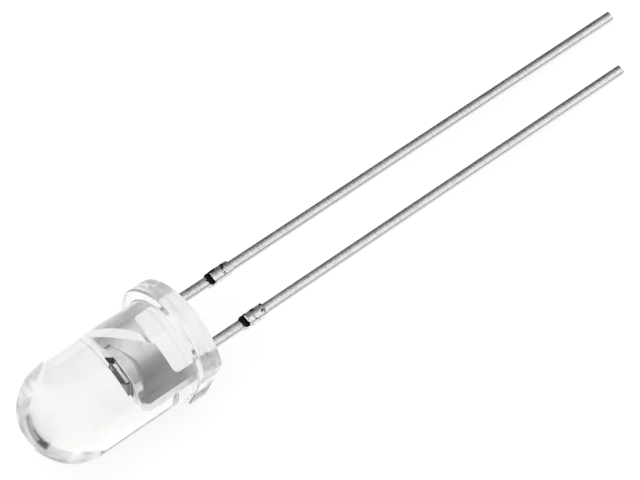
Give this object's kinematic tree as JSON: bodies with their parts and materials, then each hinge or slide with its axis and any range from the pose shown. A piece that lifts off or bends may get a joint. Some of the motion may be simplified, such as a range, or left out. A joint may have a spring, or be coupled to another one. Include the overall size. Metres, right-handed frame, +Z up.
{
  "type": "phototransistor",
  "caption": "Clear domed light sensor with a flanged base, a flat on its collector side and straight square leads of unequal length, lying on its side.",
  "frame": {"origin": "on the surface that the part lies on, under the middle of its bounding box", "axes": "+Z up from that surface; +X from the lens towards the lead tips, along the leads as seen from above; +Y towards the emitter lead, so the flat and the shorter collector lead are on the -Y side"},
  "size_m": [0.0376, 0.0056, 0.0061],
  "materials": {
    "clear_epoxy": "water-clear cast epoxy, glossy, its seating face a little rough",
    "tinned_lead_frame": "satin hot-dipped tin outside the lens, bright silver plating inside it",
    "silver_epoxy": "dull grey silver-filled adhesive",
    "silicon": "polished dark silicon with a pale metal contact",
    "gold": "bright drawn gold wire"
  },
  "bodies": {
    "root": {"lens_body": "clear_epoxy", "collector_lead": "tinned_lead_frame", "emitter_lead": "tinned_lead_frame", "die_attach": "silver_epoxy", "chip": "silicon", "bond_wire": "gold"}
  },
  "joints": []
}
